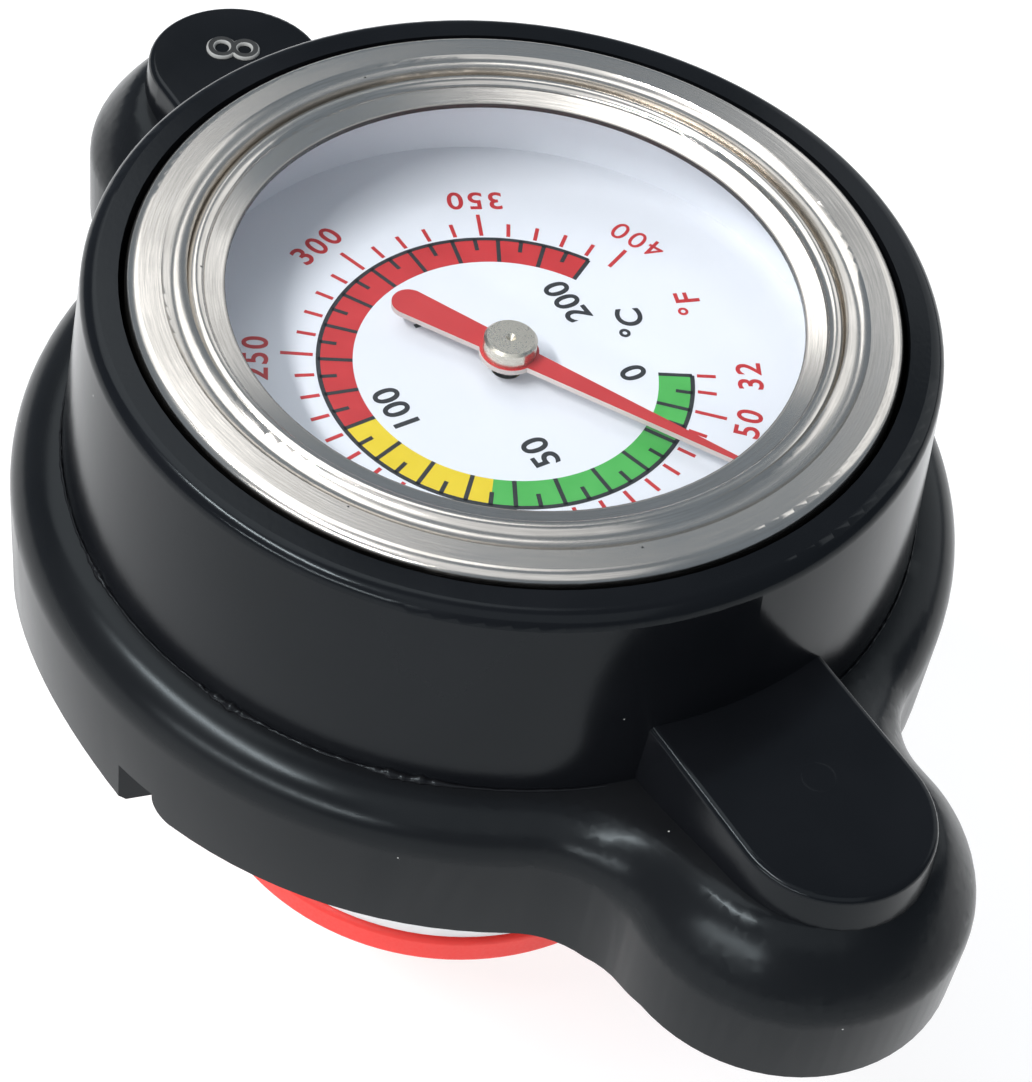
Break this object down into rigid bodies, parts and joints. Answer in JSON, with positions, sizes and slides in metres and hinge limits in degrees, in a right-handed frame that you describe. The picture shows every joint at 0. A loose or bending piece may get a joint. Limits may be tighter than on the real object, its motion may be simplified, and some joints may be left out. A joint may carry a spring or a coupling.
{
  "type": "radiator cap thermometer",
  "caption": "Bayonet radiator cap with finger ears and a round dial thermometer on top, whose probe passes down through the spring-loaded pressure and vacuum valves.",
  "frame": {"origin": "on the cap's axis, in the plane where the upper gasket meets the rim of the filler neck", "axes": "+Z along the cap's axis, up through the dial; +X towards one finger ear"},
  "size_m": [0.0718, 0.0486, 0.0489],
  "materials": {
    "black_coat": "satin black coat",
    "black_moulding": "satin moulding",
    "case_steel": "plain",
    "bezel_steel": "turned and polished",
    "crystal_glass": "clear",
    "black_rubber": "matt",
    "dial_white": "printed",
    "pointer_red": "satin",
    "hub_nickel": "turned",
    "brass": "turned",
    "probe_steel": "drawn",
    "valve_steel": "zinc plated",
    "spring_steel": "drawn wire",
    "plate_zinc": "zinc plated",
    "red_silicone": "matt"
  },
  "bodies": {
    "cap": {"cap_shell": "black_coat", "gauge_housing": "black_moulding", "gauge_case": "case_steel", "bezel": "bezel_steel", "crystal": "crystal_glass", "crystal_gasket": "black_rubber", "dial_ring": "dial_white", "dial_seat": "case_steel", "dial_plate": "dial_white", "upper_bush": "brass", "lower_bush": "brass", "bimetal_coil": "brass", "stem_tube": "probe_steel", "stem_plug": "probe_steel", "stem_gland": "brass", "stem_o_ring": "black_rubber", "clamp_washer": "valve_steel", "clamp_nut": "brass", "spring_disc": "valve_steel", "neck_gasket": "black_rubber", "spring_cage": "valve_steel", "pressure_spring": "spring_steel"},
    "needle": {"pointer": "pointer_red", "pointer_hub": "hub_nickel", "pointer_shaft": "case_steel"},
    "pressure_valve": {"pressure_plate": "plate_zinc", "pressure_seal": "red_silicone", "valve_eyelet": "brass", "vacuum_spring": "spring_steel"},
    "vacuum_valve": {"vacuum_poppet": "brass", "vacuum_seal": "black_rubber", "vacuum_washer": "valve_steel"}
  },
  "joints": [
    {"name": "needle_turn", "type": "hinge", "parent": "cap", "child": "needle", "pos_m": [0, 0, 0.0099], "axis": [0, 0, -1], "range_deg": [-32.1, 267.9]},
    {"name": "pressure_lift", "type": "slide", "parent": "cap", "child": "pressure_valve", "axis": [0, 0, 1], "range_m": [0, 0.005], "stiffness_N_per_m": 12000, "deforming": ["pressure_spring"]},
    {"name": "vacuum_drop", "type": "slide", "parent": "pressure_valve", "child": "vacuum_valve", "axis": [0, 0, -1], "range_m": [0, 0.0015], "stiffness_N_per_m": 200, "deforming": ["vacuum_spring"]}
  ]
}
